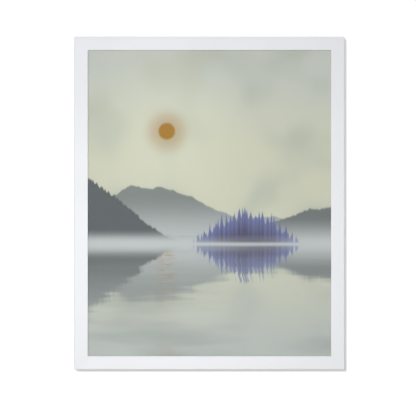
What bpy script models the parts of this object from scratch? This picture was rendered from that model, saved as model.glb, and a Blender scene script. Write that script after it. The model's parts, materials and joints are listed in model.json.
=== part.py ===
"""A 16 by 20 inch print in a white mitred frame, with glass, backing and wall hardware.

Metres, +Z up. The frame faces -Y, and +X is to the right of someone who looks at it. The wall is the
plane y = 0. The origin is where a nail in that wall carries the middle notch of the hanger.
"""

import math

import bmesh
import bpy
from mathutils import Matrix, Vector

INCH = 0.0254
GAP = 0.0003  # clearance between two pieces that touch
MERGE_DISTANCE = 1e-6
SHARP_ANGLE = math.radians(40)  # an edge that turns by more than this isn't shaded smooth

# The sheets that the frame takes, and how they lie in the rabbet
SHEET_WIDTH = 16 * INCH
SHEET_HEIGHT = 20 * INCH
RABBET_COVER = 0.25 * INCH  # how far the lip covers each edge of a sheet
SHEET_PLAY = 0.00075  # room between a centred sheet and the rabbet wall
SHEETS = (  # name, thickness and finish, from the front to the back
    ("glass_pane", 0.002, "clear_glass"),
    ("print_sheet", 0.0005, "printed_paper"),
    ("filler_board", 0.010, "foam_board"),
    ("backing_board", 0.003, "hardboard"),
)

# The moulding
RAIL_FACE = 0.022
RAIL_DEPTH = 0.020
EDGE_RADIUS = 0.0005
EDGE_STEPS = 4

# The felt pads, which keep the frame off the wall
PAD_RADIUS = 0.005
PAD_THICKNESS = 0.0032
PAD_CHAMFER = 0.0005
PAD_STEPS = 32
PAD_INSET = 0.03  # from the side of the frame to the middle of a pad

# The turn buttons, which hold the backing in
BUTTON_WIDTH = 0.009
BUTTON_ARM = 0.012  # from the pivot to the middle of the rounded tip
BUTTON_THICKNESS = 0.001
BUTTON_STEPS = 12  # in each round end
BUTTON_SPACING_SHORT = 0.22  # between the two on the top or bottom rail
BUTTON_SPACING_LONG = 0.3  # between the two on a side rail

# The round-headed screws
SHANK_RADIUS = 0.0013
SHANK_LENGTH = 0.010
POINT_LENGTH = 0.0026
SCREW_STEPS = 24
DOME_STEPS = 5
HOLE_RADIUS = SHANK_RADIUS + GAP
HOLE_STEPS = 16
HEAD_RADIUS = 0.0029
HEAD_HEIGHT = 0.0013
HEAD_RIM = 0.0005  # height of the head's edge, under its dome
RECESS_LENGTH = 0.0032
RECESS_WIDTH = 0.0007
RECESS_DEPTH = 0.0007

# The sawtooth hanger
HANGER_LENGTH = 0.05
HANGER_WIDTH = 0.009
HANGER_THICKNESS = 0.0008
HANGER_RISE = 0.0019  # how far the toothed middle stands out from the two tabs
HANGER_TAB = 0.009
HANGER_RAMP = 0.003
HANGER_CORNER = 0.003
TOOTH_PITCH = 0.0028
TOOTH_DEPTH = 0.0018  # of the hanger's notches
NOTCH_OVERLAP = 0.00025  # how far below the edge two notches meet, which leaves each tooth a flat tip
NOTCHES = 9

# The V-nails, which hold the mitres together
WEDGE_LEG = 0.0045
WEDGE_THICKNESS = 0.0006
WEDGE_DEPTH = 0.010
WEDGE_INSETS = (0.0045, 0.0105)  # from the outer edges of the corner to the bend of each wedge

# Worked out from the sizes above
RABBET_LAP = RABBET_COVER + SHEET_PLAY
RABBET_DEPTH = sum(GAP + thickness for _, thickness, _ in SHEETS)
LIP_DEPTH = RAIL_DEPTH - RABBET_DEPTH
OUTER_WIDTH = SHEET_WIDTH - 2 * RABBET_COVER + 2 * RAIL_FACE
OUTER_HEIGHT = SHEET_HEIGHT - 2 * RABBET_COVER + 2 * RAIL_FACE
BACK_Y = -(PAD_THICKNESS + GAP)
FRONT_Y = BACK_Y - RAIL_DEPTH
HARDWARE_LINE = (RAIL_FACE - RABBET_LAP) / 2  # from the outer edge to the middle of a rail's back
HANGER_SCREW_X = (HANGER_LENGTH - HANGER_TAB) / 2
TOP_Z = HARDWARE_LINE + HANGER_WIDTH / 2 - TOOTH_DEPTH
CENTRE = Vector((0, 0, TOP_Z - OUTER_HEIGHT / 2))

# name, length, distance from the frame's centre to the outer edge, turn about Y, space between buttons
RAILS = (
    ("top", OUTER_WIDTH, OUTER_HEIGHT / 2, 0, BUTTON_SPACING_SHORT),
    ("right", OUTER_HEIGHT, OUTER_WIDTH / 2, 90, BUTTON_SPACING_LONG),
    ("bottom", OUTER_WIDTH, OUTER_HEIGHT / 2, 180, BUTTON_SPACING_SHORT),
    ("left", OUTER_HEIGHT, OUTER_WIDTH / 2, 270, BUTTON_SPACING_LONG),
)
SIDES = (("left", -1), ("right", 1))
CORNERS = (("top_left", -1, 1), ("top_right", 1, 1), ("bottom_left", -1, -1), ("bottom_right", 1, -1))

# colour, roughness, metallic
FINISHES = {
    "white_paint": ((0.83, 0.84, 0.86), 0.45, 0.0),
    "clear_glass": ((0.86, 0.92, 0.90), 0.05, 0.0),
    "printed_paper": ((0.58, 0.59, 0.53), 0.70, 0.0),
    "foam_board": ((0.88, 0.88, 0.86), 0.80, 0.0),
    "hardboard": ((0.27, 0.16, 0.085), 0.75, 0.0),
    "zinc_plate": ((0.62, 0.63, 0.64), 0.35, 1.0),
    "grey_felt": ((0.34, 0.34, 0.33), 0.95, 0.0),
}


def clear_scene():
    for obj in list(bpy.data.objects):
        bpy.data.objects.remove(obj)


def finish_named(name):
    """The material of that name, made the first time that it is asked for."""
    if name in bpy.data.materials:
        return bpy.data.materials[name]
    colour, roughness, metallic = FINISHES[name]
    material = bpy.data.materials.new(name)
    material.use_nodes = True
    shader = material.node_tree.nodes["Principled BSDF"]
    shader.inputs["Base Color"].default_value = (*colour, 1)
    shader.inputs["Roughness"].default_value = roughness
    shader.inputs["Metallic"].default_value = metallic
    return material


def mesh_from(bm, name):
    """Writes bm to a new mesh whose faces point outwards, and frees it."""
    bmesh.ops.recalc_face_normals(bm, faces=bm.faces)
    mesh = bpy.data.meshes.new(name)
    bm.to_mesh(mesh)
    bm.free()
    return mesh


def add_piece(name, mesh, finish=None, matrix=None):
    """Adds an object. With no finish it is a cutter, which isn't rendered."""
    obj = bpy.data.objects.new(name, mesh)
    bpy.context.scene.collection.objects.link(obj)
    obj.matrix_world = matrix or Matrix.Identity(4)
    if finish:
        if not mesh.materials:
            mesh.materials.append(finish_named(finish))
    else:
        obj.hide_render = True
        obj.display_type = "WIRE"
    return obj


def cut(obj, cutter):
    modifier = obj.modifiers.new(cutter.name, "BOOLEAN")
    modifier.operation = "DIFFERENCE"
    modifier.solver = "EXACT"
    modifier.object = cutter


def cut_mesh(obj, *cutters):
    """The mesh of obj with the cutters taken out of it. It removes them and obj."""
    for cutter in cutters:
        cut(obj, cutter)
    bpy.context.view_layer.update()
    graph = bpy.context.evaluated_depsgraph_get()
    mesh = bpy.data.meshes.new_from_object(obj.evaluated_get(graph))
    for helper in (obj, *cutters):
        bpy.data.objects.remove(helper)
    return mesh


def extruded(points, way):
    """A bmesh of the flat outline through the points, pushed along the vector way."""
    bm = bmesh.new()
    face = bm.faces.new([bm.verts.new(p) for p in points])
    made = bmesh.ops.extrude_face_region(bm, geom=[face])
    moved = [v for v in made["geom"] if isinstance(v, bmesh.types.BMVert)]
    bmesh.ops.translate(bm, vec=way, verts=moved)
    return bm


def prism(name, outline, low, high):
    """An outline of (x, z) points, pushed along Y from low to high."""
    return mesh_from(extruded([(x, low, z) for x, z in outline], (0, high - low, 0)), name)


def turned(name, profile, steps):
    """A profile of (radius, y) points, from axis to axis, spun about the Y axis."""
    bm = bmesh.new()
    line = [bm.verts.new((r, y, 0)) for r, y in profile]
    edges = [bm.edges.new(pair) for pair in zip(line, line[1:])]
    bmesh.ops.spin(
        bm,
        geom=line + edges,
        cent=(0, 0, 0),
        axis=(0, 1, 0),
        angle=math.tau,
        steps=steps,
        use_merge=True,
        use_duplicate=False,
    )
    bmesh.ops.remove_doubles(bm, verts=bm.verts, dist=MERGE_DISTANCE)
    mesh = mesh_from(bm, name)
    mesh.shade_smooth()
    mesh.set_sharp_from_angle(angle=SHARP_ANGLE)
    return mesh


def arc(centre, radius, start, end, steps):
    """Points along an arc, in degrees, with both ends."""
    angles = [math.radians(start + (end - start) * i / steps) for i in range(steps + 1)]
    return [(centre[0] + radius * math.cos(a), centre[1] + radius * math.sin(a)) for a in angles]


def rectangle(width, height, centre=(0, 0)):
    x, z = centre
    return [
        (x - width / 2, z - height / 2),
        (x + width / 2, z - height / 2),
        (x + width / 2, z + height / 2),
        (x - width / 2, z + height / 2),
    ]


def rail_frame(turn):
    """From a rail's own axes, with its outer edge up, to the row's."""
    return Matrix.Translation(CENTRE) @ Matrix.Rotation(math.radians(turn), 4, "Y")


def moulding_outline():
    """The rail's section as (inset from the outer edge, y), with both front edges eased."""
    radius = EDGE_RADIUS
    front = FRONT_Y + radius
    outer_edge = arc((radius, front), radius, 180, 270, EDGE_STEPS)
    sight_edge = arc((RAIL_FACE - radius, front), radius, 270, 360, EDGE_STEPS)
    ledge_y = FRONT_Y + LIP_DEPTH
    rabbet = RAIL_FACE - RABBET_LAP
    return [(0, BACK_Y), *outer_edge, *sight_edge, (RAIL_FACE, ledge_y), (rabbet, ledge_y), (rabbet, BACK_Y)]


def rail_mesh(name, length, reach):
    """The section swept along X, and sheared at both ends to a 45 degree mitre."""
    trim = GAP / math.sqrt(2)  # along X, for half of GAP across the mitre
    bm = extruded([(-1, y, reach - inset) for inset, y in moulding_outline()], (2, 0, 0))
    for vert in bm.verts:
        inset = reach - vert.co.z
        vert.co.x *= length / 2 - inset - trim
    return mesh_from(bm, name)


def wedge_outline(corner, inset, grow=0.0):
    """The bent strip of a V-nail, in the corner's own quadrant, bigger all round by grow."""
    _, side_x, side_z = corner
    bend_x = OUTER_WIDTH / 2 - inset
    bend_z = OUTER_HEIGHT / 2 - inset
    half = WEDGE_THICKNESS / 2 + grow
    leg = WEDGE_LEG + grow
    points = [
        (bend_x + half, bend_z + half),
        (bend_x - leg, bend_z + half),
        (bend_x - leg, bend_z - half),
        (bend_x - half, bend_z - half),
        (bend_x - half, bend_z - leg),
        (bend_x + half, bend_z - leg),
    ]
    return [(CENTRE.x + side_x * x, CENTRE.z + side_z * z) for x, z in points]


def add_wedges(cutters):
    """Two V-nails across every mitre, sunk just below the back, and their slots in both rails."""
    back = BACK_Y - GAP
    front = back - WEDGE_DEPTH
    for corner in CORNERS:
        for place, inset in zip(("outer", "inner"), WEDGE_INSETS):
            name = f"v_nail_{corner[0]}_{place}"
            add_piece(name, prism(name, wedge_outline(corner, inset), front, back), "zinc_plate")
            mesh = prism("slot", wedge_outline(corner, inset, GAP), front - GAP, BACK_Y + GAP)
            slot = add_piece(f"slot_{corner[0]}_{place}", mesh)
            for rail in corner[0].split("_"):
                cutters[rail].append(slot)


def screw_mesh():
    """A round-headed screw along Y, with the underside of its head at y = 0 and its point at -y."""
    dome = [
        (HEAD_RADIUS * cosine, HEAD_RIM + (HEAD_HEIGHT - HEAD_RIM) * sine)
        for cosine, sine in arc((0, 0), 1, 0, 90, DOME_STEPS)
    ]
    profile = [
        (0, -SHANK_LENGTH),
        (SHANK_RADIUS, POINT_LENGTH - SHANK_LENGTH),
        (SHANK_RADIUS, 0),
        (HEAD_RADIUS, 0),
        *dome[:-1],
        (0, HEAD_HEIGHT),
    ]
    blank = add_piece("screw_blank", turned("screw", profile, SCREW_STEPS), "zinc_plate")
    slots = []
    for size in ((RECESS_LENGTH, RECESS_WIDTH), (RECESS_WIDTH, RECESS_LENGTH)):
        slot = prism("recess", rectangle(*size), HEAD_HEIGHT - RECESS_DEPTH, HEAD_HEIGHT + GAP)
        slots.append(add_piece("recess", slot))
    return cut_mesh(blank, *slots)


def pivot_hole(centre):
    """The outline of a hole that clears a screw's shank."""
    return arc(centre, HOLE_RADIUS, 0, 360, HOLE_STEPS)[:-1]


def pilot_hole(name, head):
    """A cutter for the hole of a screw, where head is the screw's own matrix."""
    depth = SHANK_LENGTH + GAP
    mesh = turned(name, [(0, -depth), (HOLE_RADIUS, -depth), (HOLE_RADIUS, 0), (0, 0)], HOLE_STEPS)
    return add_piece(name, mesh, matrix=head)


def button_mesh():
    """A flat arm with round ends that points down from a pivot hole at the origin."""
    radius = BUTTON_WIDTH / 2
    outline = arc((0, 0), radius, 0, 180, BUTTON_STEPS)
    outline += arc((0, -BUTTON_ARM), radius, 180, 360, BUTTON_STEPS)
    blank = add_piece("button_blank", prism("turn_button", outline, 0, BUTTON_THICKNESS), "zinc_plate")
    drill = add_piece("button_drill", prism("drill", pivot_hole((0, 0)), -GAP, BUTTON_THICKNESS + GAP))
    return cut_mesh(blank, drill)


def hanger_section():
    """The hanger from above, as (x, y), with its two tabs on y = 0 and its middle raised."""
    end = HANGER_LENGTH / 2
    foot = end - HANGER_TAB
    top = foot - HANGER_RAMP
    under = [(-end, 0), (-foot, 0), (-top, HANGER_RISE), (top, HANGER_RISE), (foot, 0), (end, 0)]
    return under + [(x, y + HANGER_THICKNESS) for x, y in reversed(under)]


def saw_outline():
    """What the teeth leave out: notches along the hanger's lower edge, with the middle one at x = 0."""
    edge = -HANGER_WIDTH / 2
    start = -NOTCHES * TOOTH_PITCH / 2
    low = edge - 2 * TOOTH_DEPTH
    points = [(start, low)]
    for i in range(NOTCHES):
        points.append((start + i * TOOTH_PITCH, edge - NOTCH_OVERLAP))
        points.append((start + (i + 0.5) * TOOTH_PITCH, edge + TOOTH_DEPTH))
    return [*points, (-start, edge - NOTCH_OVERLAP), (-start, low)]


def hanger_mesh():
    """The whole hanger, with the middle of its tabs' underside at the origin."""
    bm = extruded([(x, y, -HANGER_WIDTH / 2) for x, y in hanger_section()], (0, 0, HANGER_WIDTH))
    end = HANGER_LENGTH / 2 - MERGE_DISTANCE
    across = [e for e in bm.edges if all(abs(v.co.x) > end for v in e.verts)]
    corners = [e for e in across if abs(e.verts[0].co.z - e.verts[1].co.z) < MERGE_DISTANCE]
    bmesh.ops.bevel(
        bm, geom=corners, offset=HANGER_CORNER, segments=5, profile=0.5, affect="EDGES", material=-1
    )
    blank = add_piece("hanger_blank", mesh_from(bm, "sawtooth_hanger"), "zinc_plate")
    height = HANGER_RISE + HANGER_THICKNESS
    cutters = [add_piece("saw", prism("saw", saw_outline(), -GAP, height + GAP))]
    for side in (-1, 1):
        hole = pivot_hole((side * HANGER_SCREW_X, 0))
        cutters.append(add_piece(f"drill_{side}", prism("drill", hole, -GAP, height)))
    return cut_mesh(blank, *cutters)


def add_sheets():
    """Glass, print, filler and backing, which stand on the bottom rail's rabbet."""
    drop = SHEET_PLAY - GAP
    outline = rectangle(SHEET_WIDTH, SHEET_HEIGHT, (CENTRE.x, CENTRE.z - drop))
    front = FRONT_Y + LIP_DEPTH
    for name, thickness, finish in SHEETS:
        front += GAP
        add_piece(name, prism(name, outline, front, front + thickness), finish)
        front += thickness


def add_turn_buttons(screw, cutters):
    """Two turn buttons on every rail, each with the origin of its object on its pivot."""
    button = button_mesh()
    for rail, _, reach, turn, spacing in RAILS:
        for place, side in (("a", -1), ("b", 1)):
            seat = Matrix.Translation((side * spacing / 2, BACK_Y + GAP, reach - HARDWARE_LINE))
            pivot = rail_frame(turn) @ seat
            head = pivot @ Matrix.Translation((0, BUTTON_THICKNESS + GAP, 0))
            add_piece(f"turn_button_{rail}_{place}", button, "zinc_plate", pivot)
            add_piece(f"button_screw_{rail}_{place}", screw, "zinc_plate", head)
            cutters[rail].append(pilot_hole(f"hole_{rail}_{place}", head))


def add_hanger(screw, cutters):
    """The sawtooth hanger in the middle of the top rail, and its two screws."""
    seat = rail_frame(0) @ Matrix.Translation((0, BACK_Y + GAP, OUTER_HEIGHT / 2 - HARDWARE_LINE))
    add_piece("sawtooth_hanger", hanger_mesh(), "zinc_plate", seat)
    for place, side in SIDES:
        head = seat @ Matrix.Translation((side * HANGER_SCREW_X, HANGER_THICKNESS + GAP, 0))
        add_piece(f"hanger_screw_{place}", screw, "zinc_plate", head)
        cutters["top"].append(pilot_hole(f"hole_hanger_{place}", head))


def add_pads():
    """A felt pad near each lower corner, from just behind the bottom rail to the wall."""
    profile = [
        (0, -PAD_THICKNESS),
        (PAD_RADIUS, -PAD_THICKNESS),
        (PAD_RADIUS, -PAD_CHAMFER),
        (PAD_RADIUS - PAD_CHAMFER, 0),
        (0, 0),
    ]
    mesh = turned("felt_pad", profile, PAD_STEPS)
    height = CENTRE.z - OUTER_HEIGHT / 2 + HARDWARE_LINE
    for place, side in SIDES:
        x = side * (OUTER_WIDTH / 2 - PAD_INSET)
        add_piece(f"felt_pad_{place}", mesh, "grey_felt", Matrix.Translation((x, 0, height)))


def add_rails(cutters):
    for rail, length, reach, turn, _ in RAILS:
        name = f"frame_rail_{rail}"
        obj = add_piece(name, rail_mesh(name, length, reach), "white_paint", rail_frame(turn))
        for cutter in cutters[rail]:
            cut(obj, cutter)


def main():
    clear_scene()
    screw = screw_mesh()
    cutters = {rail: [] for rail, *_ in RAILS}  # what each rail has cut out of it
    add_turn_buttons(screw, cutters)
    add_hanger(screw, cutters)
    add_wedges(cutters)
    add_rails(cutters)
    add_sheets()
    add_pads()


main()
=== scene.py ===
"""The looks of a 16 by 20 inch print in a white mitred frame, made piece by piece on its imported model.

Metres, +Z up. The frame faces -Y, and +X is to the right of someone who looks at it. The wall is the
plane y = 0. Every piece is made at its place, so that its object can stay at the origin.
"""

import json
import math

import bmesh
import bpy
from bpy.props import FloatProperty, FloatVectorProperty, IntProperty, PointerProperty
from mathutils import Matrix, Vector, noise


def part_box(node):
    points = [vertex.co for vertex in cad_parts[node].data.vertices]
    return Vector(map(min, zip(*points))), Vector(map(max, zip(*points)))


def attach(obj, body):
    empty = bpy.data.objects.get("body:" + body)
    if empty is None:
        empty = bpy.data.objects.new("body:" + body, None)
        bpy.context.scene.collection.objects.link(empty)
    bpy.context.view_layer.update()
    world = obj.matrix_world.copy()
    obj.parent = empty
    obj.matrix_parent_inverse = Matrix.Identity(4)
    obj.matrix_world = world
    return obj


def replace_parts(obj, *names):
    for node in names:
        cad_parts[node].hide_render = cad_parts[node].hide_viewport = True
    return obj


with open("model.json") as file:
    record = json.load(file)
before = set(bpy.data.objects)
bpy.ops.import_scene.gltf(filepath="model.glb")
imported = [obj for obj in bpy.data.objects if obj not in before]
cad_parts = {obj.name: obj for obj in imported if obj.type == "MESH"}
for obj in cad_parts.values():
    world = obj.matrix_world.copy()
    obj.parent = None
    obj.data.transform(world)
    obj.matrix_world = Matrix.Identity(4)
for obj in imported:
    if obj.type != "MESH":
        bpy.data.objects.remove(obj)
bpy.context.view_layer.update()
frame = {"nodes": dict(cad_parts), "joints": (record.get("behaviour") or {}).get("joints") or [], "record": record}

bl_info = {
    "name": "Framed Print",
    "version": (1, 0, 0),
    "blender": (4, 5, 0),
    "location": "3D View > Sidebar > Framed Print",
    "description": "Makes the pieces of a framed print on its packed model",
    "category": "Object",
}

BODIES = frame["record"]["behaviour"]["bodies"]

# Points within MERGE of each other are made one, and after a cut or a join those within SLIVER. Places
# within NEAR of each other count as the same.
MERGE = 1e-6
SLIVER = 2e-6
NEAR = 1e-5
# How far a cutter starts outside what it cuts
OVERCUT = 1e-4
# The angle at which two faces meet in a hard edge, and the one under which they are made one face
SHARP_ANGLE = math.radians(40)
FLAT_ANGLE = math.radians(0.5)
# How far a face's normal has to lean to a side for the face to look that way
LEAN = 0.05
# How many sides the screws and their holes have
ROUND_SIDES = 40

# The frame's outline and the depths in its rails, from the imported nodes
LEFT_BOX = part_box("frame_rail_left")
TOP_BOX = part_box("frame_rail_top")
GLASS_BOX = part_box("glass_pane")
SHEET_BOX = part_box("print_sheet")
WIDTH = -2 * LEFT_BOX[0].x
HEIGHT = TOP_BOX[1].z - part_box("frame_rail_bottom")[0].z
CENTRE = Vector((0, 0, TOP_BOX[1].z - HEIGHT / 2))
FACE = LEFT_BOX[1].x - LEFT_BOX[0].x
FRONT_Y = LEFT_BOX[0].y
BACK_Y = LEFT_BOX[1].y

# name, length, distance from the centre to the outer edge, turn about Y
RAILS = (
    ("top", WIDTH, HEIGHT / 2, 0),
    ("right", HEIGHT, WIDTH / 2, 90),
    ("bottom", WIDTH, HEIGHT / 2, 180),
    ("left", HEIGHT, WIDTH / 2, 270),
)
# From a fitting's own axes to the row's: its thickness points to the wall, and its Y axis up
ON_THE_BACK = Matrix(((-1, 0, 0, 0), (0, 0, 1, 0), (0, 1, 0, 0), (0, 0, 0, 1)))
# What gives each line of hills in the picture its own shape
RIDGE_SHAPE = ("Base", "Rise", "Peak", "Spread", "Rolling", "Trees", "Seed")


# Settings

def length(name, default, about):
    return FloatProperty(
        name=name, description=about, default=default, precision=5, subtype="DISTANCE", unit="LENGTH"
    )


def share(name, default, about):
    return FloatProperty(name=name, description=about, default=default, min=0, max=1, subtype="FACTOR")


def colour(name, default, about):
    return FloatVectorProperty(
        name=name, description=about, default=default, size=3, min=0, max=1, subtype="COLOR"
    )


def power(name, default, about):
    return FloatProperty(
        name=name, description=about, default=default, min=0, subtype="POWER", unit="POWER"
    )


def angle(name, default, about):
    return FloatProperty(
        name=name, description=about, default=math.radians(default), subtype="ANGLE", unit="ROTATION"
    )


class RailSettings(bpy.types.PropertyGroup):
    seat_gap: length("Seat gap", 0.0003, "Space between the lip and the glass")
    side_play: length("Side play", 0.00075, "Space between a centred sheet and the rabbet's wall")
    edge_radius: length("Edge radius", 0.0003, "Radius of the two front edges")
    corner_radius: length("Corner radius", 0.0021, "Radius that sanding leaves on the outer corners")
    back_arris: length("Back arris", 0.0003, "Width of the arris along the back and the rabbet")
    mitre_arris: length("Mitre arris", 0.00008, "Width of the arris that shows as a line at each mitre")
    paint: colour("Paint", (0.745, 0.752, 0.775), "The satin white of the front and the sides")
    paint_roughness: share("Paint roughness", 0.42, "How matt the paint is")
    wood: colour("Wood", (0.66, 0.49, 0.31), "The bare pine of the back")
    wood_line: colour("Wood line", (0.42, 0.26, 0.13), "The late wood between the pine's growth rings")
    overspray: length("Overspray", 0.0022, "How far the paint reaches in over the back")


class GlassSettings(bpy.types.PropertyGroup):
    tint: colour("Tint", (0.975, 0.988, 0.982), "What the glass lets through")
    seam: length("Seam", 0.0002, "Width of the broken edges of the glass and the board")
    board: colour("Board", (0.80, 0.80, 0.78), "The paper on both sides of the foam board")
    foam: colour("Foam", (0.86, 0.86, 0.85), "The core of the foam board")


class PictureSettings(bpy.types.PropertyGroup):
    sheet_arris: length("Sheet arris", 0.00005, "Width of the sheet's softened edges")
    horizon: share("Waterline", 0.37, "Height of the far shore")
    sun_across: share("Sun across", 0.33, "The sun's place from left to right")
    sun_height: share("Sun height", 0.73, "The sun's height in the picture")
    sun_size: share("Sun size", 0.034, "The sun's radius as a share of the picture's width")
    sky_high: colour("High sky", (0.525, 0.55, 0.51), "The top of the sky")
    sky_low: colour("Low sky", (0.58, 0.585, 0.465), "The hazy sky above the hills")
    cloud: colour("Cloud", (0.435, 0.46, 0.39), "The soft patches in the sky")
    mist: colour("Mist", (0.53, 0.56, 0.56), "The mist at the foot of the hills")
    far_hills: colour("Far hills", (0.20, 0.225, 0.22), "The furthest hills")
    near_hills: colour("Near hills", (0.085, 0.098, 0.105), "The nearer hills")
    island: colour("Island", (0.140, 0.168, 0.360), "The island's trees in the light")
    island_shade: colour("Island shade", (0.052, 0.047, 0.110), "The island's foot and its shaded trees")
    sun: colour("Sun", (0.38, 0.18, 0.0), "The sun behind the haze")
    water: colour("Water", (0.45, 0.485, 0.47), "The water near the viewer")
    paper: colour("Paper", (0.80, 0.80, 0.77), "The unprinted edges and back of the sheet")


class BackingSettings(bpy.types.PropertyGroup):
    arris: length("Arris", 0.0004, "Width of the broken edges")
    board: colour("Hardboard", (0.235, 0.128, 0.058), "The smooth side of the hardboard")
    fibre: colour("Fibre", (0.34, 0.205, 0.105), "The paler fibres in the hardboard")


class HardwareSettings(bpy.types.PropertyGroup):
    zinc: colour("Zinc", (0.62, 0.63, 0.65), "The bright zinc plate")
    zinc_roughness: share("Zinc roughness", 0.32, "How dull the zinc plate is")
    arris: length("Arris", 0.00012, "Radius of the edges of the turn buttons and the screws' heads")
    hole_radius: length("Hole radius", 0.0016, "Radius of the holes for the screws")
    rib_width: share("Rib width", 0.42, "Width of a turn button's rib as a share of the button's own")
    rib_start: share("Rib start", 0.42, "Where the rib starts, on the way from the screw to the far end")
    rib_height: length("Rib height", 0.00045, "How far the rib of a turn button stands up")
    rib_slope: length("Rib slope", 0.0009, "Width of the slope round the rib")
    dome_rim: length("Dome rim", 0.0005, "Height of a screw head's edge, under its dome")
    shank_radius: length("Shank radius", 0.0013, "Radius of a screw over its thread")
    shank_length: length("Shank length", 0.010, "From the underside of a screw's head to its tip")
    point_length: length("Point length", 0.0026, "How much of the shank is its point")
    thread_depth: length("Thread depth", 0.00032, "Depth of a screw's thread")
    thread_pitch: length("Thread pitch", 0.0011, "Length of one turn of a screw's thread")
    thread_share: share("Thread share", 0.72, "How much of the shank the thread's turns take up")
    recess_length: length("Recess length", 0.0033, "Length of the cross in a screw's head")
    recess_width: length("Recess width", 0.0008, "Width of the cross in a screw's head")
    recess_depth: length("Recess depth", 0.0008, "Depth of the cross in a screw's head")
    recess_taper: share("Recess taper", 0.55, "Size of the cross at its bottom as a share of its top")
    tooth_pitch: length("Tooth pitch", 0.0028, "Space between two of the hanger's notches")
    tooth_depth: length("Tooth depth", 0.0018, "Depth of the hanger's notches")
    tooth_root: length("Tooth root", 0.0002, "Radius at the bottom of the hanger's notches")
    notches: IntProperty(name="Notches", description="How many notches the hanger has", default=9, min=1)
    hanger_thickness: length("Hanger thickness", 0.0008, "Thickness of the hanger's steel")
    hanger_arris: length("Hanger arris", 0.000072, "Radius of the hanger's edges")
    fold_radius: length("Fold radius", 0.0007, "Radius of the hanger's folds")
    tab: length("Tab", 0.009, "Length of the hanger's flat ends")
    ramp: length("Ramp", 0.003, "Length of the slopes between the tabs and the raised middle")
    nail_leg: length("V-nail leg", 0.0045, "Length of a V-nail's legs")
    nail_thickness: length("V-nail thickness", 0.0006, "Thickness of a V-nail's strip")
    nail_proud: length("V-nail proud", 0.00005, "How far a V-nail stands out of the wood")


class PadSettings(bpy.types.PropertyGroup):
    felt: colour("Felt", (0.30, 0.30, 0.295), "The grey felt")
    rim: length("Rim", 0.0006, "Radius of the felt's rim")
    fuzz: length("Fuzz", 0.00009, "How uneven the felt's surface is")


class StudioSettings(bpy.types.PropertyGroup):
    lens: FloatProperty(
        name="Lens", description="Focal length in mm", default=200, min=1, subtype="DISTANCE_CAMERA"
    )
    distance: length("Distance", 3.7380, "From the camera to the front of the frame")
    camera_across: length("Camera across", -0.0023, "The camera's place right of the frame's middle")
    camera_up: length("Camera up", 0.0026, "The camera's place above the frame's middle")
    key_tilt: angle("Key tilt", 9.5, "How far the key light stands to the left, and as far above")
    key_distance: length("Key distance", 7.0, "From the key light's plane to the frame's")
    key_size: length("Key size", 0.9, "Diameter of the key light")
    key_power: power("Key power", 93, "Strength of the key light on the frame")
    wall_power: power("Wall power", 640, "Strength of the same light on the wall, where the shadow falls")
    front_power: power("Front power", 19, "Strength of the light beside the camera")
    fill_power: power("Fill power", 5.03, "Strength of the light near the frame, a little low and left")
    side_power: power("Side power", 15, "Strength of the lights beside, over and under the frame")
    back_power: power("Back power", 62, "Strength of the light behind the frame")
    world: share("World", 0.32, "Strength of the light from all round")
    wall_tone: share("Wall tone", 0.40, "How much light the wall gives back")
    wall_lift: share("Wall lift", 0.465, "Light of the wall's own, which keeps the ground pure white")
    floor_tone: share("Floor tone", 0.93, "How much light the floor gives back")
    floor_lift: share("Floor lift", 0.40, "Light of the floor's own")
    floor_drop: length("Floor drop", 1.2, "From the frame's middle down to the floor")


class FramedPrintSettings(bpy.types.PropertyGroup):
    rails: PointerProperty(type=RailSettings)
    glass: PointerProperty(type=GlassSettings)
    picture: PointerProperty(type=PictureSettings)
    backing: PointerProperty(type=BackingSettings)
    hardware: PointerProperty(type=HardwareSettings)
    pads: PointerProperty(type=PadSettings)
    studio: PointerProperty(type=StudioSettings)


# Shader nodes

def fill(tree, socket, value):
    """Links value to the socket where it is a socket itself, and otherwise sets it there."""
    if isinstance(value, bpy.types.NodeSocket):
        tree.links.new(value, socket)
    else:
        socket.default_value = value


def add_node(tree, kind, inputs=None, **settings):
    node = tree.nodes.new("ShaderNode" + kind)
    for name, value in settings.items():
        setattr(node, name, value)
    for socket, value in (inputs or {}).items():
        fill(tree, node.inputs[socket], value)
    return node


def maths(tree, operation, *values):
    return add_node(tree, "Math", dict(enumerate(values)), operation=operation).outputs[0]


def times(tree, first, second):
    return maths(tree, "MULTIPLY", first, second)


def times_plus(tree, first, second, third):
    return maths(tree, "MULTIPLY_ADD", first, second, third)


def minus(tree, first, second):
    return maths(tree, "SUBTRACT", first, second)


def over(tree, first, second):
    return maths(tree, "DIVIDE", first, second)


def apart(tree, first, second):
    return maths(tree, "ABSOLUTE", minus(tree, first, second))


def ranged(tree, value, low, high, to_low=0.0, to_high=1.0, kind="LINEAR"):
    """value, taken from the range low to high to the range to_low to to_high, and held inside it."""
    inputs = dict(enumerate((value, low, high, to_low, to_high)))
    return add_node(tree, "MapRange", inputs, interpolation_type=kind).outputs[0]


def eased(tree, value, low, high, to_low=0.0, to_high=1.0):
    """The same with a soft start and end."""
    return ranged(tree, value, low, high, to_low, to_high, "SMOOTHSTEP")


def split(tree, vector):
    return add_node(tree, "SeparateXYZ", {0: vector}).outputs


def vector_of(tree, *parts):
    return add_node(tree, "CombineXYZ", dict(enumerate(parts))).outputs[0]


def distance_of(tree, vector):
    return add_node(tree, "VectorMath", {0: vector}, operation="LENGTH").outputs["Value"]


def stretched(tree, place, scale):
    """A place whose three directions are scaled apart, for a pattern that is longer one way."""
    return add_node(tree, "VectorMath", {0: place, 1: scale}, operation="MULTIPLY").outputs[0]


def rgba(value):
    """A colour as a colour socket takes it. A socket stays as it is."""
    return value if isinstance(value, bpy.types.NodeSocket) else (*value, 1)


def scaled(tint, factor):
    """A colour made darker or lighter."""
    return tuple(min(c * factor, 1) for c in tint)


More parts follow.
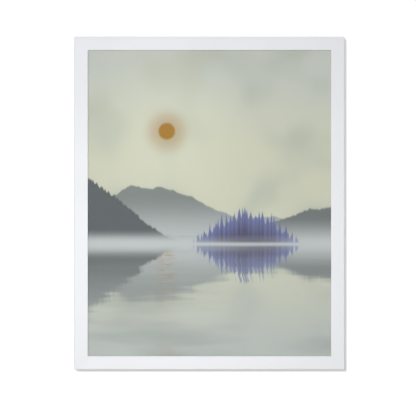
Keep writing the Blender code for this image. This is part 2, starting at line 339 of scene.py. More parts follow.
def mixed(tree, factor, first, second):
    """Two colours mixed: first at a factor of 0, second at 1."""
    inputs = {0: factor, 6: rgba(first), 7: rgba(second)}
    return add_node(tree, "Mix", inputs, data_type="RGBA").outputs[2]


def mixed_shaders(tree, factor, first, second):
    return add_node(tree, "MixShader", {0: factor, 1: first, 2: second}).outputs[0]


def place_of(tree, turn=0.0):
    """The place on the piece in metres, turned about Y by so many degrees."""
    place = add_node(tree, "TexCoord").outputs["Object"]
    if not turn:
        return place
    inputs = {"Vector": place, "Rotation": (0, math.radians(turn), 0)}
    return add_node(tree, "Mapping", inputs).outputs[0]


def noise_at(tree, place, scale, detail=2.0):
    return add_node(tree, "TexNoise", {"Vector": place, "Scale": scale, "Detail": detail}).outputs[0]


def drawn_out(tree, place, across, up):
    """Noise with so many waves to a metre across the frame and up it."""
    return noise_at(tree, stretched(tree, place, (across, 1, up)), 1)


def new_group(name, inputs, outputs):
    """A shader node group, with the sockets inside it, or with None for them where it is made already.
    An input with no default is a vector."""
    if name in bpy.data.node_groups:
        return bpy.data.node_groups[name], None, None
    group = bpy.data.node_groups.new(name, "ShaderNodeTree")
    for socket, default in inputs.items():
        kind = "NodeSocketVector" if default is None else "NodeSocketFloat"
        made = group.interface.new_socket(socket, in_out="INPUT", socket_type=kind)
        if default is not None:
            made.default_value = default
    for socket in outputs:
        group.interface.new_socket(socket, in_out="OUTPUT", socket_type="NodeSocketFloat")
    return group, group.nodes.new("NodeGroupInput").outputs, group.nodes.new("NodeGroupOutput").inputs


def use_group(tree, group, inputs):
    """Puts a group in a material's tree and returns its outputs."""
    return add_node(tree, "Group", inputs, node_tree=group).outputs


def surface_tooth(tree, place, grain, patch):
    """Fine grain and soft patches, each from 0 to 1, for a surface that isn't quite even."""
    inputs = {"Place": None, "Grain": 0.001, "Patch": 0.05}
    group, given, result = new_group("Surface Tooth", inputs, ("Tooth", "Patches"))
    if given:
        fine = noise_at(group, given["Place"], over(group, 1, given["Grain"]), 3)
        soft = noise_at(group, given["Place"], over(group, 1, given["Patch"]))
        fill(group, result["Tooth"], fine)
        fill(group, result["Patches"], ranged(group, soft, 0.3, 0.7))
    return use_group(tree, group, {"Place": place, "Grain": grain, "Patch": patch})


def long_fibres(tree, place, spacing, run, wander=0.0):
    """Streaks along X, such as wood grain or rolling marks, with a spacing and a length in metres."""
    inputs = {"Place": None, "Spacing": 0.001, "Length": 0.05, "Wander": 0.0}
    group, given, result = new_group("Long Fibres", inputs, ("Fibres", "Bands"))
    if given:
        along = over(group, 1, given["Length"])
        across = over(group, 1, given["Spacing"])
        drift = minus(group, noise_at(group, given["Place"], 9, 1), 0.5)
        drift = times(group, drift, given["Wander"])
        shift = {0: given["Place"], 1: vector_of(group, 0, drift, drift)}
        moved_place = add_node(group, "VectorMath", shift, operation="ADD").outputs[0]
        streaked = stretched(group, moved_place, vector_of(group, along, across, across))
        bands = noise_at(group, streaked, 0.22, 1)
        fill(group, result["Fibres"], noise_at(group, streaked, 1, 3))
        fill(group, result["Bands"], eased(group, bands, 0.35, 0.65))
    inputs = {"Place": place, "Spacing": spacing, "Length": run, "Wander": wander}
    return use_group(tree, group, inputs)


def growth_rings(tree, place, spacing, wander):
    """The rings of a trunk whose heart lies along X, behind the wood: 0 in early wood, 1 in late.

    Every board's width the pattern turns back, so that the rings stay near enough to curve.
    """
    inputs = {"Place": None, "Spacing": 0.003, "Wander": 0.01, "Heart": 0.02, "Board": 0.12}
    group, given, result = new_group("Growth Rings", inputs, ("Rings",))
    if given:
        _, deep, up = split(group, given["Place"])
        aside = maths(group, "PINGPONG", maths(group, "ADD", up, given["Heart"]), given["Board"])
        radius = distance_of(group, vector_of(group, aside, minus(group, deep, given["Heart"])))
        drift = minus(group, noise_at(group, stretched(group, given["Place"], (7, 22, 22)), 1, 3), 0.5)
        radius = times_plus(group, drift, given["Wander"], radius)
        year = maths(group, "FRACT", over(group, radius, given["Spacing"]))
        end = ranged(group, year, 0.92, 1.0, 1, 0)
        fill(group, result["Rings"], times(group, eased(group, year, 0.3, 0.9), end))
    return use_group(tree, group, {"Place": place, "Spacing": spacing, "Wander": wander})


def wave_along(tree, across, scale, seed):
    """Noise from 0 to 1 that changes along one direction only."""
    inputs = {"W": times_plus(tree, across, scale, seed), "Scale": 1, "Detail": 3}
    return add_node(tree, "TexNoise", inputs, noise_dimensions="1D").outputs[0]


def misty_ridge(tree, across, height, softness, shape):
    """A line of hills: 1 below it and 0 above it, with a peak, and firs of two sizes along the line."""
    inputs = dict.fromkeys(("Across", "Height", "Softness", *RIDGE_SHAPE), 0.0)
    group, given, result = new_group("Misty Ridge", inputs, ("Ridge", "Depth"))
    if given:
        along, seed = given["Across"], given["Seed"]
        away = over(group, minus(group, along, given["Peak"]), given["Spread"])
        hump = maths(group, "EXPONENT", times(group, times(group, away, away), -1))
        line = times_plus(group, hump, given["Rise"], given["Base"])
        wave = minus(group, wave_along(group, along, 4, seed), 0.5)
        line = times_plus(group, wave, given["Rolling"], line)
        firs = 0.0
        for pitch in (43, 61):
            point = maths(group, "PINGPONG", times_plus(group, along, pitch, seed), 0.5)
            point = maths(group, "POWER", times(group, point, 2), 1.4)
            tall = ranged(group, wave_along(group, along, pitch / 2, seed), 0.3, 0.7, 0.3, 1)
            firs = maths(group, "MAXIMUM", times(group, point, tall), firs)
        firs = times(group, firs, ranged(group, hump, 0, 0.6))
        line = times_plus(group, firs, given["Trees"], line)
        depth = minus(group, line, given["Height"])
        edge = times(group, given["Softness"], -1)
        fill(group, result["Ridge"], eased(group, depth, edge, given["Softness"]))
        fill(group, result["Depth"], depth)
    inputs = {"Across": across, "Height": height, "Softness": softness} | dict(zip(RIDGE_SHAPE, shape))
    return use_group(tree, group, inputs)


def new_material(name):
    """An empty material and its tree. One of that name is made afresh."""
    material = bpy.data.materials.get(name) or bpy.data.materials.new(name)
    material.use_nodes = True
    material.node_tree.nodes.clear()
    return material, material.node_tree


def surfaced(material, shader):
    tree = material.node_tree
    fill(tree, add_node(tree, "OutputMaterial").inputs["Surface"], shader)
    return material


def principled(tree, inputs):
    return add_node(tree, "BsdfPrincipled", inputs).outputs[0]


def finished(material, tone, roughness, height, relief, more=None):
    """The material with a Principled surface, and bumps that are relief deep where height is 1."""
    tree = material.node_tree
    bump = add_node(tree, "Bump", {"Height": height, "Distance": relief}).outputs[0]
    inputs = {"Base Color": tone, "Roughness": roughness, "Normal": bump} | (more or {})
    return surfaced(material, principled(tree, inputs))


# Finishes

def white_paint(rails, turn):
    """Satin white sprayed on wood, whose grain only just shows through it."""
    material, tree = new_material(f"white_satin_paint_{turn}")
    place = place_of(tree, turn)
    grain = long_fibres(tree, place, spacing=0.0011, run=0.04, wander=0.02)["Fibres"]
    skin = surface_tooth(tree, place, grain=0.0007, patch=0.07)
    thin = times(tree, skin["Patches"], grain)
    tone = mixed(tree, thin, rails.paint, scaled(rails.paint, 0.985))
    low, high = rails.paint_roughness - 0.05, rails.paint_roughness + 0.05
    gloss = ranged(tree, skin["Patches"], 0, 1, low, high)
    height = times_plus(tree, grain, 0.8, skin["Tooth"])
    return finished(material, tone, gloss, height, relief=0.000012, more={"IOR": 1.46})


def bare_pine(rails, turn):
    """Planed pine with its growth lines along the rail, a dark hairline at the mitres, and paint sprayed
    over its outer edge."""
    material, tree = new_material(f"bare_pine_{turn}")
    place = place_of(tree, turn)
    line = growth_rings(tree, place, spacing=0.0032, wander=0.012)["Rings"]
    pores = long_fibres(tree, place, spacing=0.0003, run=0.009)
    wood = mixed(tree, pores["Fibres"], rails.wood, scaled(rails.wood, 0.86))
    wood = mixed(tree, times(tree, line, 0.62), wood, rails.wood_line)
    wood = mixed(tree, times(tree, pores["Bands"], 0.12), wood, rails.wood_line)
    across, _, up = split(tree, place_of(tree))
    from_side = minus(tree, WIDTH / 2, maths(tree, "ABSOLUTE", across))
    from_end = minus(tree, HEIGHT / 2, apart(tree, up, CENTRE.z))
    off_mitre = apart(tree, from_side, from_end)
    joint = ranged(tree, off_mitre, rails.mitre_arris, rails.mitre_arris * 3, 0.7, 0)
    wood = mixed(tree, joint, wood, scaled(rails.wood_line, 0.4))
    inset = maths(tree, "MINIMUM", from_side, from_end)
    reach = ranged(tree, noise_at(tree, place, 700, 3), 0.3, 0.7, 0, rails.overspray)
    spray = eased(tree, minus(tree, reach, inset), -0.0005, 0.0005)
    tone = mixed(tree, spray, wood, rails.paint)
    gloss = ranged(tree, line, 0, 1, 0.68, 0.56)
    height = minus(tree, pores["Fibres"], times(tree, line, 0.3))
    return finished(material, tone, gloss, height, relief=0.00004)


def clear_glass(glass):
    """Float glass, which lets light through to the print and shows its gloss."""
    material, tree = new_material("picture_glass")
    shadow = add_node(tree, "LightPath").outputs["Is Shadow Ray"]
    inputs = {"Base Color": rgba(glass.tint), "Roughness": 0.0, "IOR": 1.5, "Transmission Weight": 1.0}
    through = add_node(tree, "BsdfTransparent").outputs[0]
    return surfaced(material, mixed_shaders(tree, shadow, principled(tree, inputs), through))


def matt_card(name, tint, grain, relief):
    """Paper, card or foam: matt, with a grain of that size and relief, and a little uneven in tone."""
    material, tree = new_material(name)
    skin = surface_tooth(tree, place_of(tree), grain, patch=grain * 50)
    tone = mixed(tree, skin["Patches"], tint, scaled(tint, 0.96))
    gloss = ranged(tree, skin["Tooth"], 0, 1, 0.7, 0.9)
    return finished(material, tone, gloss, skin["Tooth"], relief)


def sky(tree, picture, place, across, height):
    """Haze above the hills, soft patches of cloud, and the sun."""
    rise = ranged(tree, height, picture.horizon, 1)
    drift = minus(tree, noise_at(tree, place, 5.5), 0.5)
    level = eased(tree, times_plus(tree, drift, 0.5, rise), 0.45, 0.95)
    tone = mixed(tree, level, picture.sky_low, picture.sky_high)
    patches = eased(tree, noise_at(tree, place, 11, 1.5), 0.42, 0.68, 0, 0.75)
    tone = mixed(tree, patches, tone, picture.cloud)
    shape = SHEET_BOX[1] - SHEET_BOX[0]
    side = minus(tree, across, picture.sun_across)
    up = times(tree, minus(tree, height, picture.sun_height), shape.z / shape.x)
    far = distance_of(tree, vector_of(tree, side, 0, up))
    size = picture.sun_size
    glow = eased(tree, far, size, 0.42, 0.62, 0)
    tone = mixed(tree, glow, tone, scaled(picture.sky_low, 1.15))
    tone = mixed(tree, eased(tree, far, size, size * 3.2, 0.45, 0), tone, picture.sun)
    return mixed(tree, eased(tree, far, size * 0.82, size * 1.12, 1, 0), tone, picture.sun)


def hills(tree, picture, across, height, softness, tone):
    """The hills and the island over the sky, each paler where it stands in the mist."""
    above = minus(tree, height, picture.horizon)
    far, near = picture.far_hills, picture.near_hills
    between = tuple((c + d) / 2 for c, d in zip(far, near))
    # colour, colour in the shade, mist at the foot, and the values of RIDGE_SHAPE
    for lit, shade, mist, *shape in (
        (far, far, 0.16, 0.08, 0.10, 0.22, 0.30, 0.10, 0.004, 3.1),
        (between, between, 0.09, 0.03, 0.10, 1.02, 0.26, 0.06, 0.006, 8.7),
        (near, near, 0.05, -0.03, 0.25, -0.05, 0.30, 0.05, 0.016, 5.3),
        (picture.island, picture.island_shade, 0.010, -0.06, 0.135, 0.65, 0.22, 0.03, 0.050, 1.9),
    ):
        ridge = misty_ridge(tree, across, above, softness, shape)
        body = mixed(tree, ranged(tree, ridge["Depth"], 0, 0.07), lit, shade)
        body = mixed(tree, eased(tree, above, 0, mist, 0.85, 0), body, picture.mist)
        tone = mixed(tree, ridge["Ridge"], tone, body)
    return tone


def sun_on_water(tree, picture, place, across, depth):
    """How much of the sun's colour each spot of the water gives back: a broken streak below the sun."""
    aside = apart(tree, across, picture.sun_across)
    reach = times_plus(tree, depth, 0.10, picture.sun_size)
    streak = eased(tree, over(tree, aside, reach), 0.2, 1.3, 1, 0)
    glints = eased(tree, drawn_out(tree, place, 55, 420), 0.45, 0.60, 0, 0.42)
    below = times(tree, ranged(tree, depth, 0.004, 0.03), ranged(tree, depth, 0.03, 0.26, 1, 0))
    return times(tree, times(tree, streak, glints), below)


def misty_lake(picture):
    """The picture: a lake at dawn, with an island, hills in the mist and all of it in the water."""
    material, tree = new_material("misty_lake_print")
    low, size = SHEET_BOX[0], SHEET_BOX[1] - SHEET_BOX[0]
    place = place_of(tree)
    spot = {"Vector": place, "Scale": (1 / size.x, 1, 1 / size.z)}
    spot["Location"] = (-low.x / size.x, 0, -low.z / size.z)
    across, _, height = split(tree, add_node(tree, "Mapping", spot).outputs[0])
    depth = maths(tree, "MAXIMUM", minus(tree, picture.horizon, height), 0)
    from_shore = apart(tree, height, picture.horizon)
    ripple = minus(tree, drawn_out(tree, place, 7, 95), 0.5)
    sway = times(tree, ripple, depth)
    mirrored = maths(tree, "ADD", times_plus(tree, sway, 0.5, from_shore), picture.horizon)
    across = times_plus(tree, sway, 0.22, across)
    softness = times_plus(tree, depth, 0.10, 0.004)
    tone = sky(tree, picture, place, across, mirrored)
    tone = hills(tree, picture, across, mirrored, softness, tone)
    lake = eased(tree, depth, 0, picture.horizon, 0.08, 0.90)
    lake = times(tree, lake, ranged(tree, depth, 0, 0.002))
    tone = mixed(tree, times_plus(tree, ripple, 0.10, lake), tone, picture.water)
    gusts = eased(tree, drawn_out(tree, place, 4, 24), 0.42, 0.66, 0, 0.34)
    gusts = times(tree, gusts, ranged(tree, depth, 0.06, 0.20))
    tone = mixed(tree, gusts, tone, picture.far_hills)
    tone = mixed(tree, sun_on_water(tree, picture, place, across, depth), tone, picture.sun)
    bank = ranged(tree, drawn_out(tree, place, 5, 30), 0.3, 0.7, 0.15, 0.75)
    fog = times(tree, eased(tree, from_shore, 0, 0.035, 1, 0), bank)
    tone = mixed(tree, fog, tone, picture.mist)
    tooth = surface_tooth(tree, place, grain=0.0004, patch=0.02)["Tooth"]
    tone = mixed(tree, ranged(tree, tooth, 0.3, 0.7, 0, 0.05), tone, picture.paper)
    return finished(material, tone, 0.62, tooth, relief=0.000012)


def hardboard(backing):
    """Smooth brown hardboard, with the pale fibres that it is pressed from."""
    material, tree = new_material("hardboard")
    skin = surface_tooth(tree, place_of(tree), grain=0.0006, patch=0.035)
    tone = mixed(tree, times(tree, skin["Patches"], 0.15), backing.board, backing.fibre)
    for turn, run in ((20, 0.005), (75, 0.004), (140, 0.006)):
        strands = long_fibres(tree, place_of(tree, turn), 0.00035, run, wander=0.01)["Fibres"]
        tone = mixed(tree, eased(tree, strands, 0.56, 0.74, 0, 0.36), tone, backing.fibre)
    pits = ranged(tree, skin["Tooth"], 0.62, 0.75, 0, 0.6)
    tone = mixed(tree, pits, tone, scaled(backing.board, 0.45))
    gloss = ranged(tree, skin["Patches"], 0, 1, 0.49, 0.54)
    return finished(material, tone, gloss, skin["Tooth"], relief=0.00002)


def zinc_plate(hardware):
    """Bright zinc on stamped steel, with rolling marks and a faint bluish and yellowish bloom."""
    material, tree = new_material("zinc_plate")
    place = place_of(tree)
    marks = long_fibres(tree, place, spacing=0.00012, run=0.005)["Fibres"]
    skin = surface_tooth(tree, place, grain=0.0002, patch=0.003)
    red, green, blue = hardware.zinc
    bluish, yellowish = (red * 0.97, green, blue * 1.03), (red, green * 0.98, blue * 0.92)
    tone = mixed(tree, skin["Patches"], bluish, yellowish)
    tone = mixed(tree, ranged(tree, marks, 0.45, 0.75, 0, 0.3), tone, scaled(hardware.zinc, 0.7))
    gloss = times_plus(tree, marks, 0.25, hardware.zinc_roughness - 0.08)
    height = times_plus(tree, marks, 0.5, skin["Tooth"])
    return finished(material, tone, gloss, height, relief=0.000006, more={"Metallic": 1.0})


def grey_felt(pads):
    """Pressed grey wool, mottled and matt, with a soft sheen."""
    material, tree = new_material("grey_felt")
    wool = surface_tooth(tree, place_of(tree), grain=0.00025, patch=0.0016)
    pale = scaled(pads.felt, 1.7)
    tone = mixed(tree, times(tree, wool["Patches"], 0.35), pads.felt, pale)
    height = wool["Tooth"]
    for turn, hair in ((10, pale), (65, scaled(pads.felt, 0.5)), (125, pale)):
        hairs = long_fibres(tree, place_of(tree, turn), spacing=0.00009, run=0.0012)["Fibres"]
        hairs = eased(tree, hairs, 0.5, 0.7)
        tone = mixed(tree, times(tree, hairs, 0.6), tone, hair)
        height = maths(tree, "ADD", height, hairs)
    sheen = {"Sheen Weight": 0.35, "Sheen Roughness": 0.5}
    return finished(material, tone, 0.95, height, relief=0.00008, more=sheen)


# Modelling

def only(kind, made):
    return [item for item in made if isinstance(item, kind)]


def whole(bm):
    return bm.verts[:] + bm.edges[:] + bm.faces[:]


def placed(bm, matrix):
    """bm itself, moved and turned as a whole."""
    bmesh.ops.transform(bm, matrix=matrix, verts=bm.verts)
    return bm


def extruded(points, way):
    """A bmesh of the flat outline through the points, pushed along the vector way."""
    bm = bmesh.new()
    face = bm.faces.new([bm.verts.new(p) for p in points])
    made = bmesh.ops.extrude_face_region(bm, geom=[face])["geom"]
    bmesh.ops.translate(bm, vec=way, verts=only(bmesh.types.BMVert, made))
    bmesh.ops.recalc_face_normals(bm, faces=bm.faces)
    return bm


def bevelled(bm, edges, radius, segments):
    bmesh.ops.bevel(
        bm, geom=edges, offset=radius, segments=segments, profile=0.5, affect="EDGES", material=-1
    )


def edges_of(verts):
    """The edges at the vertices, in an order that is the same on every run."""
    return list(dict.fromkeys(e for v in verts for e in v.link_edges))


def edges_where(edges, test):
    """Those of the edges both of whose ends pass the test."""
    return [e for e in edges if all(test(v.co) for v in e.verts)]


def sharp_edges(bm):
    bm.normal_update()
    return [e for e in bm.edges if e.is_manifold and e.calc_face_angle(0) > SHARP_ANGLE]


def near(a, b):
    return abs(a - b) < NEAR


def is_level(edge):
    """Whether an edge runs square to the Y axis."""
    return near(edge.verts[0].co.y, edge.verts[1].co.y)


def spun(profile, steps=ROUND_SIDES):
    """A profile of (radius, height) points, from axis to axis, spun about the Z axis."""
    bm = bmesh.new()
    line = [bm.verts.new((radius, 0, height)) for radius, height in profile]
    edges = [bm.edges.new(pair) for pair in zip(line, line[1:])]
    bmesh.ops.spin(
        bm, geom=line + edges, cent=(0, 0, 0), axis=(0, 0, 1), angle=math.tau, steps=steps, use_merge=True
    )
    bmesh.ops.remove_doubles(bm, verts=bm.verts, dist=MERGE)
    bmesh.ops.recalc_face_normals(bm, faces=bm.faces)
    return bm


def arc(centre, radius, start, end, steps):
    """Points along an arc, in degrees, with both ends."""
    turns = [math.radians(start + (end - start) * i / steps) for i in range(steps + 1)]
    return [(centre[0] + radius * math.cos(a), centre[1] + radius * math.sin(a)) for a in turns]


def new_mesh(name, bm):
    """A mesh of bm's shape. It uses up bm."""
    mesh = bpy.data.meshes.new(name)
    bm.to_mesh(mesh)
    bm.free()
    return mesh


def new_object(name, data):
    """An object that stands in the scene, instead of an earlier one of that name."""
    earlier = bpy.data.objects.get(name)
    if earlier:
        bpy.data.objects.remove(earlier)
    obj = bpy.data.objects.new(name, data)
    bpy.context.scene.collection.objects.link(obj)
    return obj


def nodes_with(word):
    return sorted(name for name in frame["nodes"] if word in name)


def body_with(node):
    return next(body for body, nodes in BODIES.items() if node in nodes)


def add_piece(name, bm, node, finishes, matrix=None):
    """Writes bm to a piece that stands for the node, at its place, and moves with its body."""
    if matrix:
        placed(bm, matrix)
    mesh = new_mesh(name, bm)
    for finish in finishes:
        mesh.materials.append(finish)
    mesh.shade_smooth()
    mesh.set_sharp_from_angle(angle=SHARP_ANGLE)
    obj = new_object(name, mesh)
    level = obj.modifiers.new("even_shading", "WEIGHTED_NORMAL")
    level.keep_sharp = True
    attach(obj, body_with(node))
    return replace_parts(obj, node)


def put_in_order(bm):
    """Sorts the vertices, edges and faces by their places. A Boolean leaves them in an order that isn't the
    same on every run, and what is merged and dissolved after it depends on that order."""
    def place(item):
        ends = [item] if isinstance(item, bmesh.types.BMVert) else item.verts
        return sorted(v.co[:] for v in ends)

    for items in (bm.verts, bm.edges, bm.faces):
        ranks = {item: rank for rank, item in enumerate(sorted(items, key=place))}
        items.sort(key=ranks.get)
        items.index_update()


def combined(bm, others, operation="DIFFERENCE"):
    """bm less the other shapes, or joined with them, by Blender's exact Boolean. It uses up all of them."""
    shapes = (bm, *others)
    helpers = [new_object(f"helper_{i}", new_mesh(f"helper_{i}", shape)) for i, shape in enumerate(shapes)]
    blank = helpers[0]
    for helper in helpers[1:]:
        step = blank.modifiers.new(helper.name, "BOOLEAN")
        step.operation = operation
        step.solver = "EXACT"
        step.object = helper
    bpy.context.view_layer.update()
    result = bmesh.new()
    result.from_object(blank, bpy.context.evaluated_depsgraph_get())
    for helper in helpers:
        mesh = helper.data
        bpy.data.objects.remove(helper)
        bpy.data.meshes.remove(mesh)
    put_in_order(result)
    bmesh.ops.remove_doubles(result, verts=result.verts, dist=SLIVER)
    bmesh.ops.dissolve_degenerate(result, dist=SLIVER, edges=result.edges)
    bmesh.ops.dissolve_limit(result, angle_limit=FLAT_ANGLE, verts=result.verts, edges=result.edges)
    bmesh.ops.recalc_face_normals(result, faces=result.faces)
    return result


def drill(radius, low, high):
    """A cutter for a round hole through the origin."""
    bm = bmesh.new()
    bmesh.ops.create_cone(
        bm,
        cap_ends=True,
        segments=ROUND_SIDES,
        radius1=radius,
        radius2=radius,
        depth=high - low,
        matrix=Matrix.Translation((0, 0, (low + high) / 2)),
    )
    return bm


def on_the_back_of(low, high, seat):
    """Takes a fitting to the middle of its node's box, with its underside at the depth seat."""
    return Matrix.Translation(((low.x + high.x) / 2, seat, (low.z + high.z) / 2)) @ ON_THE_BACK


def add_board(name, node, finishes, arris, is_side=None):
    """A board that fills a node's box, with its edges broken. The faces that is_side picks by their
    normals take the second finish."""
    low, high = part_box(node)
    bm = bmesh.new()
    bmesh.ops.create_cube(bm, size=1, matrix=Matrix.LocRotScale((low + high) / 2, None, high - low))
    bevelled(bm, bm.edges[:], arris, 2)
    if is_side:
        bm.normal_update()
        for face in bm.faces:
            face.material_index = int(is_side(face.normal))
    return add_piece(name, bm, node, finishes)


# Pieces

def ledge_of(rails):
    """The depth at which a rail's lip ends and its rabbet starts."""
    return GLASS_BOX[0].y - rails.seat_gap


def rail_shape(rails, run, reach):
    """One rail with its outer edge up, at z = reach. It is moulded whole and then sawn to its mitres."""
    ledge, end = ledge_of(rails), run / 2
    wall = WIDTH / 2 + GLASS_BOX[0].x - rails.side_play
    section = ((0, BACK_Y), (0, FRONT_Y), (FACE, FRONT_Y), (FACE, ledge), (wall, ledge), (wall, BACK_Y))
    bm = extruded([(-end, y, reach - inset) for inset, y in section], (run, 0, 0))
    corners = edges_where(bm.edges, lambda v: near(v.z, reach) and near(abs(v.x), end))
    bevelled(bm, corners, rails.corner_radius, 6)
    bevelled(bm, edges_where(sharp_edges(bm), lambda v: near(v.y, FRONT_Y)), rails.edge_radius, 6)
    back = edges_where(sharp_edges(bm), lambda v: near(v.y, BACK_Y))
    lip = edges_where(bm.edges, lambda v: near(v.y, ledge) and near(v.z, reach - FACE))
    bevelled(bm, back + lip, rails.back_arris, 2)
    for side in (-1, 1):
        made = bmesh.ops.bisect_plane(
            bm,
            geom=whole(bm),
            dist=MERGE,
            plane_co=(side * end, 0, reach),
            plane_no=(side, 0, -1),
            clear_outer=True,
        )["geom_cut"]
        outline = only(bmesh.types.BMEdge, made)
        bmesh.ops.edgeloop_fill(bm, edges=outline)
        # the mitre's edge on the back has no arris, because the V-nails' slots cut through it
        behind = edges_where(outline, lambda v: near(v.y, BACK_Y))
        bevelled(bm, [e for e in outline if e not in behind], rails.mitre_arris, 1)
    bmesh.ops.recalc_face_normals(bm, faces=bm.faces)
    return bm


def is_painted(face, rails, reach):
    """Whether the paint reaches a rail's face: on its front, on its outer edge or on its lip's edge."""
    way, place = face.normal, face.calc_center_median()
    outside = way.z > LEAN and place.z > reach - rails.corner_radius - MERGE
    on_lip = near(place.z, reach - FACE) and place.y < ledge_of(rails)
    return way.y < -LEAN or outside or on_lip


def rail_cutters(hardware, rail):
    """The pilot holes of the screws that stand in a rail, and the slots of its V-nails."""
    low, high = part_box(f"frame_rail_{rail}")
    cutters = []
    for node in nodes_with("screw") + nodes_with("v_nail"):
        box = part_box(node)
        middle = (box[0] + box[1]) / 2
        if not (low.x < middle.x < high.x and low.z < middle.z < high.z):
            continue
        if "screw" in node:
            hole = drill(hardware.shank_radius - hardware.thread_depth, box[0].y, BACK_Y + OVERCUT)
            turn = Matrix.Rotation(-math.pi / 2, 4, "X")
            cutters.append(placed(hole, Matrix.Translation((middle.x, 0, middle.z)) @ turn))
        else:
            cutters.append(corner_nail_shape(hardware, box))
    return cutters


def add_rails(rails, hardware):
    for rail, run, reach, turn in RAILS:
        place = Matrix.Translation(CENTRE) @ Matrix.Rotation(math.radians(turn), 4, "Y")
        bm = placed(rail_shape(rails, run, reach), place)
        bm = placed(combined(bm, rail_cutters(hardware, rail)), place.inverted())
        bm.normal_update()
        for face in bm.faces:
            face.material_index = int(not is_painted(face, rails, reach))
        grain = turn % 180
        finishes = (white_paint(rails, grain), bare_pine(rails, grain))
        add_piece(f"painted_rail_{rail}", bm, f"frame_rail_{rail}", finishes, place)


def add_glazing(glass):
    """The pane with its seamed edges, and the foam board, whose core shows at its edges."""
    add_board("float_glass", "glass_pane", [clear_glass(glass)], glass.seam)
    paper = matt_card("board_paper", glass.board, grain=0.0005, relief=0.00003)
    core = matt_card("foam_core", glass.foam, grain=0.0003, relief=0.0001)
    add_board(
        "foam_filler", "filler_board", (paper, core), glass.seam, lambda way: abs(way.y) < 0.5
    )


def add_print(picture):
    """The print's sheet, with its picture on the front and bare paper all round."""
    printed, arris = misty_lake(picture), picture.sheet_arris
    bare = matt_card("sheet_paper", picture.paper, grain=0.0004, relief=0.00002)
    add_board(
        "print_on_paper", "print_sheet", (printed, bare), arris, lambda way: way.y > -0.9
    )


def add_backing(backing):
    add_board("hardboard_back", "backing_board", [hardboard(backing)], backing.arris)


def stadium(bm, radius, top, bottom, steps=16):
    """The edges of a closed outline with round ends, from top to bottom along Y."""
    turn = Matrix.Rotation(math.pi / 2 / steps, 4, "Z")
    made = bmesh.ops.create_circle(bm, segments=2 * steps, radius=radius, matrix=turn)["verts"]
    for vert in made:
        vert.co.y += bottom if vert.co.y < 0 else top
    return edges_of(made)


def raised(bm, face, width, height, steps=5):
    """Presses a face up by height, with a soft slope of that width inside its outline."""
    level = 0.0
    for i in range(1, steps + 1):
        rise = height * (1 - math.cos(math.pi * i / steps)) / 2
        bmesh.ops.inset_individual(bm, faces=[face], thickness=width / steps, depth=rise - level)
        level = rise


def turn_button_shape(hardware, radius, arm, thickness):
    """A stamped arm with round ends, a hole for its screw at the origin and a pressed rib."""
    bm = bmesh.new()
    outline = stadium(bm, radius, 0, -arm)
    hole = bmesh.ops.create_circle(bm, segments=ROUND_SIDES, radius=hardware.hole_radius)["verts"]
    outline += edges_of(hole)
    rib_edge = stadium(bm, radius * hardware.rib_width, -arm * hardware.rib_start, -arm)
    bmesh.ops.triangle_fill(bm, use_beauty=True, edges=outline + rib_edge, normal=(0, 0, 1))
    bmesh.ops.edgeloop_fill(bm, edges=[e for e in rib_edge if e.is_valid])
    made = bmesh.ops.extrude_face_region(bm, geom=bm.faces[:])["geom"]
    bmesh.ops.translate(bm, vec=(0, 0, thickness), verts=only(bmesh.types.BMVert, made))
    bmesh.ops.recalc_face_normals(bm, faces=bm.faces)
    rib = max(only(bmesh.types.BMFace, made), key=lambda f: len(f.verts))
    bevelled(bm, sharp_edges(bm), hardware.arris, 2)
    raised(bm, rib, hardware.rib_slope, hardware.rib_height)
    return bm


def add_turn_buttons(hardware):
    """One turn button on every joint, with its arm the way that its node points."""
    metal = zinc_plate(hardware)
    for joint in frame["joints"]:
        node = BODIES[joint["child"]][0]
        low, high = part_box(node)
        pivot = Vector((joint["pos_m"][0], low.y, joint["pos_m"][2]))
        way = (low + high) / 2 - pivot
        width, run = sorted((high.x - low.x, high.z - low.z))
        bm = turn_button_shape(hardware, width / 2, run - width, high.y - low.y)
        turn = Matrix.Rotation(math.atan2(way.z, -way.x) + math.pi / 2, 4, "Z")
        place = Matrix.Translation(pivot) @ ON_THE_BACK @ turn
        add_piece(f"stamped_{node}", bm, node, [metal], place)


def thread_shape(hardware, steps=20):
    """The ridge of a screw's thread, wound round its shank from the point towards the head."""
    crest, pitch, tip = hardware.shank_radius, hardware.thread_pitch, -hardware.shank_length
    # the ridge starts inside the core, so that the two have no surface in common
    foot = (crest - hardware.thread_depth) * 0.9
    turns = round(hardware.shank_length * hardware.thread_share / pitch)
    # the ridge's outline: radius, and height over the tip in turns of the thread
    section = ((foot, 0.26), (crest, 0.55), (crest, 0.65), (foot, 0.94))
    bm = bmesh.new()
    bm.faces.new([bm.verts.new((radius, 0, tip + height * pitch)) for radius, height in section])
    bmesh.ops.spin(
        bm,
        geom=whole(bm),
        cent=(0, 0, 0),
        axis=(0, 0, 1),
        dvec=(0, 0, pitch / steps),
        angle=math.tau * turns,
        steps=steps * turns,
    )
    for vert in bm.verts:
        vert.co.xy *= min((vert.co.z - tip) / hardware.point_length, 1)
    bmesh.ops.recalc_face_normals(bm, faces=bm.faces)
    return bm


